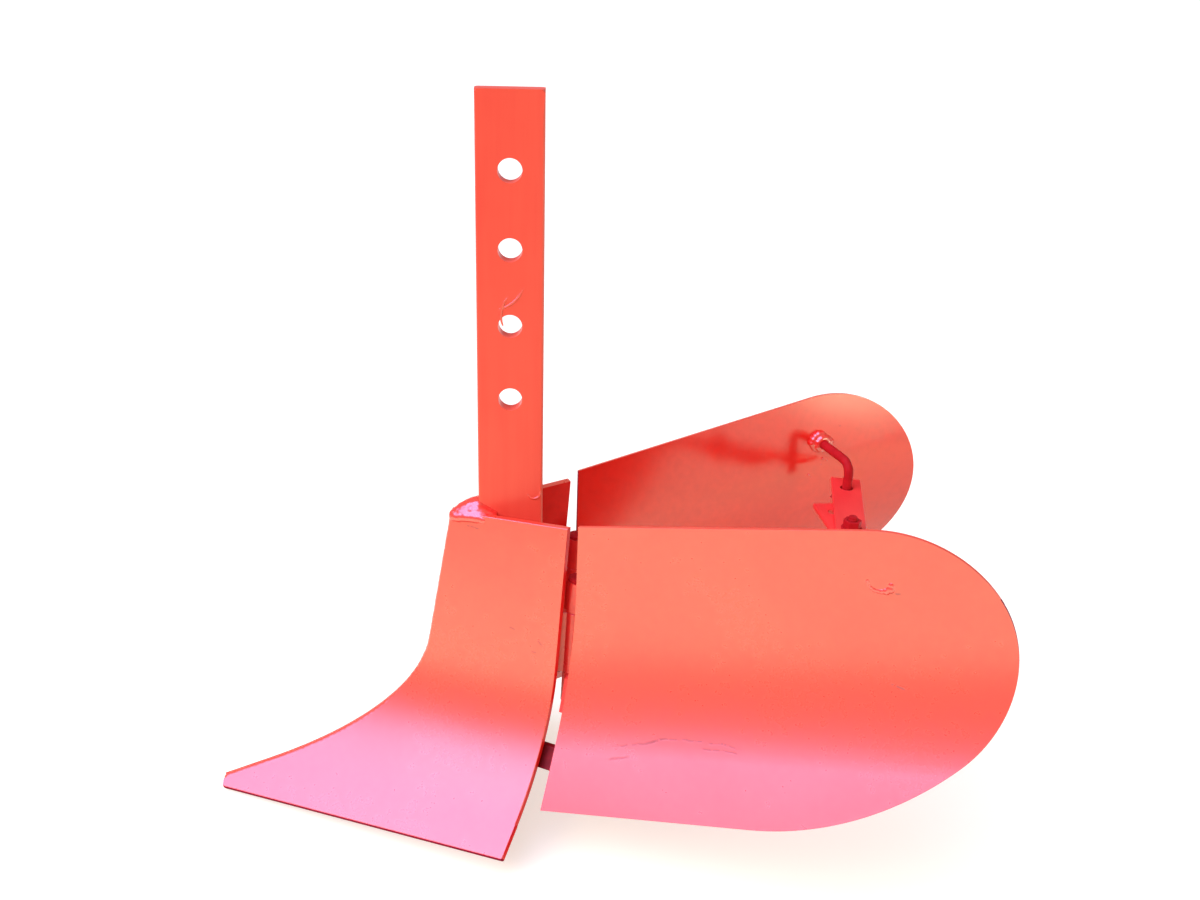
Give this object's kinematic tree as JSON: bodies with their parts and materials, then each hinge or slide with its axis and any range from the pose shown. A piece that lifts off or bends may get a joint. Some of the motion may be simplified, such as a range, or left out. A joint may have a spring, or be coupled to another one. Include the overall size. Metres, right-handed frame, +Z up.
{
  "type": "walk behind ridger",
  "caption": "Ridger body with a drilled flat shank, a V-shaped curved share and hinged mouldboard wings whose spread is set by crossed spreader strips.",
  "frame": {"origin": "bottom centre of the overall box, at the level of the share's tip", "axes": "+X forward along the line of travel, +Y to the left, +Z up along the shank"},
  "size_m": [0.6063, 0.3598, 0.5908],
  "materials": {
    "enamel": "gloss",
    "enamel_deep": "gloss",
    "enamel_fixing": "gloss"
  },
  "bodies": {
    "base": {"shank": "enamel", "share_left": "enamel", "share_right": "enamel", "prow_weld": "enamel", "nose_weld": "enamel", "shank_welds": "enamel_deep", "foot_plate": "enamel_deep", "gap_strap_left": "enamel_deep", "gap_strap_right": "enamel_deep", "share_knuckle_left": "enamel_deep", "share_knuckle_right": "enamel_deep", "hinge_pin_left": "enamel_fixing", "hinge_pin_right": "enamel_fixing"},
    "left_wing": {"wing_left": "enamel", "wing_knuckles_left": "enamel_deep", "hook_rod_left": "enamel", "hook_weld_left": "enamel", "hook_washer_left": "enamel_fixing", "hook_cotter_left": "enamel_fixing"},
    "right_wing": {"wing_right": "enamel", "wing_knuckles_right": "enamel_deep", "hook_rod_right": "enamel", "hook_weld_right": "enamel", "hook_washer_right": "enamel_fixing", "hook_cotter_right": "enamel_fixing"},
    "left_strip": {"strip_left": "enamel", "clamp_bolt": "enamel_fixing", "clamp_nut": "enamel_fixing", "clamp_washers": "enamel_fixing"},
    "right_strip": {"strip_right": "enamel"}
  },
  "joints": [
    {"name": "left_wing_hinge", "type": "hinge", "parent": "base", "child": "left_wing", "pos_m": [0.0079, 0.0375, 0.168], "axis": [0.0436, 0, -0.999], "range_deg": [-1.5, 5.5]},
    {"name": "right_wing_hinge", "type": "hinge", "parent": "base", "child": "right_wing", "pos_m": [0.0079, -0.0375, 0.168], "axis": [-0.0436, 0, 0.999], "range_deg": [-1.5, 5.5]},
    {"name": "left_strip_swivel", "type": "hinge", "parent": "left_wing", "child": "left_strip", "pos_m": [-0.22445, 0.08171, 0.24275], "axis": [0.0436, 0, -0.999], "range_deg": [-5.5, 1.5]},
    {"name": "right_strip_swivel", "type": "hinge", "parent": "right_wing", "child": "right_strip", "pos_m": [-0.22469, -0.08171, 0.24824], "axis": [-0.0436, 0, 0.999], "range_deg": [-2.6, 0.75]}
  ],
  "couplings": [
    {"joint": "right_wing_hinge", "follows": "left_wing_hinge", "ratio": 1},
    {"joint": "left_strip_swivel", "follows": "left_wing_hinge", "ratio": -1},
    {"joint": "right_strip_swivel", "follows": "left_wing_hinge", "ratio": -0.456}
  ]
}
